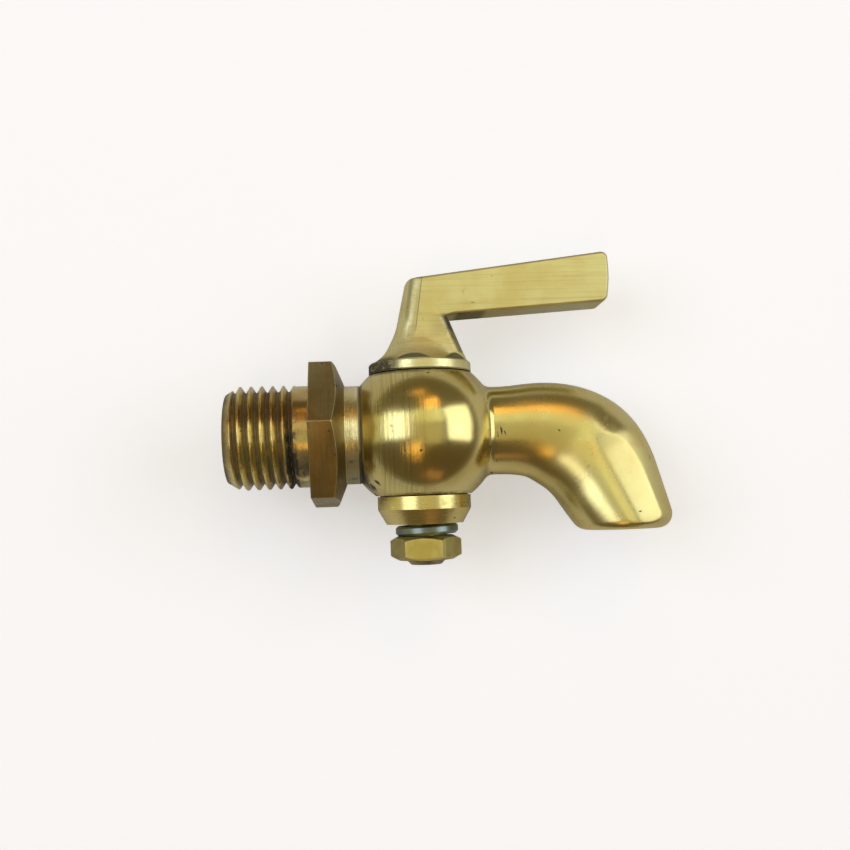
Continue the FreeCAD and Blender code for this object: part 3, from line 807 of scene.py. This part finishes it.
def keyDirtAndShade(tree, place, x, y, z):
    spread = tree.noise(place, 480.0, 4.0, 0.65)
    scratched = tree.noise(place, 2600.0, 1.0, 0.5, (0.02, 1, 1))
    crescents = 0  # two lens-shaped marks just above the flange: dirt and painted shade in the recess
    for middle, half in ((23.3, 2.5), (28.45, 1.5)):
        off = (x - middle) / half
        crescents = crescents + tree.fall(z + off * off + (spread - 0.5) * 0.3, 9.62, 9.82)
    leaned = x + (19.5 - z) * 0.152  # follows the lean of the neck's back
    # Painted dark reflections: a thin line and two dark bands along the rounded back edge of the neck.
    lines = (tree.band(leaned, 24.72, 24.84, 0.04) * tree.rise(z, 12.0, 13.6)
             + tree.band(leaned, 23.3, 23.75, 0.14) * tree.rise(z, 13.0, 14.6) * 0.85
             + tree.band(leaned, 23.8, 24.7, 0.15) * tree.rise(z, 11.0, 13.0) * 0.4)
    # Painted dark reflection on the rounded front edge of the neck, in place of a bright highlight.
    front = tree.rise(x + (z - 14.6) * 0.394, 26.8, 27.4) * tree.fall(y, -2.2, -1.0)
    # Painted shade on the lever's underside, darker still at its corner.
    underBar = tree.fall(z - x * 0.0571, 13.05, 13.2) * tree.rise(x, 25, 28.3) * tree.rise(z, 12, 13)
    return darkenedBy(tree, keyDirtAndShadeShares, dict(
        # top: a painted dark reflection along the lever's rounded top edge.
        top=tree.rise(z - x * 0.1174, 16.22, 16.42) * tree.rise(x, 23.2, 24.5),
        underBar=underBar,
        corner=underBar * tree.band(x, 28.9, 32.6, 0.5),
        flangeLeft=tree.fall(x, 20.2, 22.2) * tree.fall(z, 8.9, 9.9) * tree.rise(spread, 0.26, 0.5),
        crescents=crescents * tree.rise(z, 8.72, 8.86) * tree.fall(y, -2.0, -1.0),
        lines=lines * tree.fall(y, -2, 0),
        front=front * tree.fall(z, 14.2, 14.9) * tree.rise(z, 9.5, 10),
        scratches=tree.rise(scratched, 0.76, 0.79) * tree.rise(z, 12, 14),
        tail=tree.fall(z, -8.2, -7.8) * (1 + tree.rise(spread, 0.4, 0.6)) + tree.fall(z, -15.9, -15.6),
        # rim: painted shade along the flange's lower edge, where it sits on the ball.
        rim=tree.band(z, 7.3, 7.6, 0.1),
        loose=tree.rise(spread, 0.64, 0.72)))


# Painted shade on the nut's side faces behind its front face, with light dirt.
def nutDirtAndShade(tree, place, x, y, z):
    return darkenedBy(tree, nutDirtAndShadeShares, dict(
        sideFacesShade=tree.rise(y, -3.6, -3.2), light=lightGrime(tree, place, x, y, z)))


leverLook = dict(
    plainLook, bright=(0.83, 0.76, 0.39), warm=(0.76, 0.66, 0.29), rough=0.36, roughLines=0.3,
    patchScale=230.0, lineScale=5200.0, lineStretch=(0.02, 1, 1), lineStrength=0.45, lineTone=0.45,
    lineColour=(0.60, 0.50, 0.17), waveStrength=0.03, hazeMask=neckHaze, dirtAndShadeMask=keyDirtAndShade,
)
washerLook = dict(
    plainLook, bright=(0.78, 0.66, 0.25), rough=0.28, lineScale=6000.0, lineStretch=(0.01, 0.01, 1),
    lineStrength=0.3, lineTone=0.4, waveStrength=0.03,
)
nutLook = dict(
    plainLook, bright=(0.72, 0.62, 0.19), warm=(0.58, 0.46, 0.12), rough=0.33, patchScale=420.0,
    edgeWearAndHighlight=0.9, dirtAndShadeMask=nutDirtAndShade,
)
springLook = dict(
    plainLook, bright=(0.26, 0.30, 0.265), warm=(0.15, 0.175, 0.15), rough=0.3, edgeWearAndHighlight=0.0,
)

# A thin dark ring in the gap between the ball and the tail washer: painted shade in the gap.
gapDarkSizes = dict(
    inner=3.2, outer=5.5, bottom=-7.868, top=-7.757, columns=96,
    look=dict(plainLook, bright=(0.10, 0.07, 0.035), warm=(0.05, 0.035, 0.02), rough=0.55,
              edgeWearAndHighlight=0.0),
)


def gapDarkRing():
    columns = gapDarkSizes["columns"]
    points = []
    for radius, height in (("inner", "bottom"), ("outer", "bottom"), ("outer", "top"), ("inner", "top")):
        for column in range(columns):
            angle = math.tau * column / columns
            points.append((tap["ballCentre"] + gapDarkSizes[radius] * math.cos(angle),
                           gapDarkSizes[radius] * math.sin(angle), gapDarkSizes[height]))
    return finished(meshObject("gapDarkRing", points, ringFaces(4, columns)), 30,
                    workedMetal("gapShade", gapDarkSizes["look"]))


# A merged copy of one of the frame's solids, with smooth rounds and crisp edges.
def smoothCopy(node, name, material, sharpAngle):
    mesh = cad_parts[node].data.copy()
    mesh.name = name
    custom = mesh.attributes.get("custom_normal")
    if custom:
        mesh.attributes.remove(custom)
    mend(mesh, merge=0.001, turnOut=False)
    shadeSmooth(mesh, sharpAngle)
    mesh.materials.clear()
    mesh.materials.append(material)
    return addObject(name, mesh)


def settle(piece, body, node):
    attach(piece, body)
    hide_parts(node)
    print("made", piece.name, len(piece.data.polygons), "faces")


tapBody = joined("tapBody", [
    ballAndSpout(workedMetal("ballBrass", ballLook)),
    inletThread(workedMetal("threadBrass", threadLook)),
    inletBore(workedMetal("boreBrass", boreLook)),
    hexHead(workedMetal("hexBrass", hexLook)),
    neckSleeve(workedMetal("neckBrass", neckLook)),
])
settle(tapBody, "body", "tap_body")

leverBrass = workedMetal("leverBrass", leverLook)
plugKey = smoothCopy("plug_key", "plugKey", leverBrass, 22)
plugKey = joined("plugKey", [plugKey, neckSkin(leverBrass)])
settle(plugKey, "key", "plug_key")

tailWasher = smoothCopy("tail_washer", "tailWasher", workedMetal("turnedBrass", washerLook), 25)
tailWasher = joined("tailWasher", [tailWasher, gapDarkRing()])
settle(tailWasher, "key", "tail_washer")

tailNut = smoothCopy("tail_nut", "tailNut", workedMetal("nutBrass", nutLook), 25)
settle(tailNut, "key", "tail_nut")

springSteel = workedMetal("springSteel", springLook)
springWasher = smoothCopy("spring_washer", "springWasher", springSteel, 25)
settle(springWasher, "key", "spring_washer")


# Sizes in metres, but the camera's place in millimetres and its turns in degrees.
studio = dict(
    floorGap=0.0004, floorSize=1.6, floorTone=(0.735, 0.745, 0.80), floorLift=0.47, floorRough=0.9,
    roomHigh=(0.16, 0.135, 0.09), roomLow=(0.12, 0.092, 0.055), wallTone=(0.62, 0.61, 0.58),
    lensSpan=850, lensPixels=951.0, sensor=36.0, clip=(0.005, 10.0),
    cameraPlace=(17.86, -119.58, -7.79), cameraTurn=3.24, cameraLift=-4.20, cameraRoll=2.07,
)
# Each light: its direction as right, up and towards the camera, then distance, width, height,
# strength and colour.
lights = dict(
    windowLeft=((-0.63, 0.155, 0.76), 0.7, 0.46, 0.46, 2.0, (0.93, 1.0, 1.15)),
    windowRight=((0.80, 0.165, 0.575), 0.7, 0.50, 0.56, 1.8, (0.93, 1.0, 1.1)),
    middleHigh=((0.12, 0.38, 0.92), 0.72, 0.56, 0.26, 0.85, (0.95, 1.0, 0.72)),
    middleLow=((0.12, -0.07, 0.99), 0.74, 0.60, 0.40, 0.42, (1.0, 0.95, 0.6)),
    farLeft=((-0.985, 0.10, 0.14), 0.7, 0.50, 0.42, 0.45, (1.0, 0.96, 0.55)),
    lampHigh=((-0.05, 0.837, 0.545), 0.6, 0.10, 0.09, 1.8, (1.0, 0.50, 0.12)),
    lampMiddle=((0.20, 0.635, 0.745), 0.6, 0.20, 0.16, 1.8, (1.0, 0.52, 0.14)),
    lampLow=((-0.225, -0.42, 0.88), 0.6, 0.17, 0.16, 1.7, (1.0, 0.60, 0.20)),
    lampLowest=((-0.20, -0.62, 0.77), 0.6, 0.06, 0.12, 1.2, (1.0, 0.55, 0.16)),
    glowBelow=((0.19, -0.90, 0.38), 0.6, 0.24, 0.15, 0.3, (1.0, 0.48, 0.25)),
)


# The surface that the tap lies on. It is clear from behind.
def paleFloor():
    material, tree, shader = newMaterial("paleFloor")
    seen = tree.add("ShaderNodeLightPath")[0]
    glow = tree.mix(seen, (0.0, 0.0, 0.0), (studio["floorLift"],) * 3)
    for label, value in (("Base Color", studio["floorTone"]), ("Roughness", studio["floorRough"]),
                         ("Emission Color", glow), ("Emission Strength", 1.0)):
        tree.plug(shader.inputs[label], value)
    clear = tree.add("ShaderNodeBsdfTransparent")[0]
    backFace = tree.add("ShaderNodeNewGeometry")[6]
    mixed = tree.add("ShaderNodeMixShader", None, [backFace, Wire(tree, shader.outputs[0]), clear])[0]
    tree.plug(material.node_tree.nodes["Material Output"].inputs["Surface"], mixed)

    reach = studio["floorSize"] / 2
    level = cadBox[1][1] + studio["floorGap"]
    centre = (cadBox[0][0] + cadBox[1][0]) / 2
    corners = [(centre + right * reach, level, up * reach)
               for right, up in ((-1, -1), (1, -1), (1, 1), (-1, 1))]
    mesh = bpy.data.meshes.new("paleFloor")
    mesh.from_pydata(corners, [], [(0, 1, 2, 3)])
    mesh.materials.append(material)
    addObject("paleFloor", mesh)


# White to the camera; to the metal a dim room in front and a pale wall behind.
def room():
    world = bpy.data.worlds.new("room")
    bpy.context.scene.world = world
    world.use_nodes = True
    tree = Tree(world.node_tree)
    direction = tree.add("ShaderNodeTexCoord")[0]
    _, y, z = tree.add("ShaderNodeSeparateXYZ", None, [direction])
    dim = tree.mix(tree.rise(z, -0.7, 0.6), studio["roomLow"], studio["roomHigh"])
    tone = tree.mix(tree.rise(y, -0.12, 0.02), dim, studio["wallTone"])
    seen = tree.add("ShaderNodeLightPath")[0]
    colour = tree.mix(seen, tone, (1.0, 1.0, 1.0))
    tree.plug(world.node_tree.nodes["Background"].inputs["Color"], colour)


def softLight(name, direction, distance, width, height, strength, colour):
    light = bpy.data.lights.new(name, "AREA")
    light.shape = "RECTANGLE"
    light.size = width
    light.size_y = height
    light.energy = strength * width * height * math.pi  # as bright at any size
    light.color = colour
    right, up, near = direction
    place = Vector((right, -near, up)).normalized() * distance
    panel = addObject(name, light)
    panel.location = Vector((tap["ballCentre"] * mm, 0, 0)) + place
    panel.rotation_euler = place.to_track_quat("Z", "Y").to_euler()
    panel.visible_camera = False


def camera():
    data = bpy.data.cameras.new("camera")
    data.sensor_width = studio["sensor"]
    data.lens = studio["lensPixels"] / studio["lensSpan"] * studio["sensor"]
    data.clip_start, data.clip_end = studio["clip"]
    turn, lift, roll = (math.radians(studio["camera" + way]) for way in ("Turn", "Lift", "Roll"))
    facing = Matrix(((1, 0, 0), (0, 0, -1), (0, 1, 0)))  # level, looking along +Y
    turned = Matrix.Rotation(lift, 3, "X") @ Matrix.Rotation(-turn, 3, "Y")
    toImage = Matrix.Rotation(-roll, 3, "Z") @ turned @ facing
    flip = Matrix(((1, 0, 0), (0, -1, 0), (0, 0, -1)))  # Blender's camera looks along its own -Z
    place = Matrix.Translation(Vector(studio["cameraPlace"]) * mm)
    eye = addObject("camera", data)
    eye.matrix_world = place @ (flip @ toImage).transposed().to_4x4()
    bpy.context.scene.camera = eye


paleFloor()
room()
for name, setup in lights.items():
    softLight(name, *setup)
camera()
bpy.context.scene.view_settings.view_transform = "Standard"
print("studio ready:", len(lights), "lights")
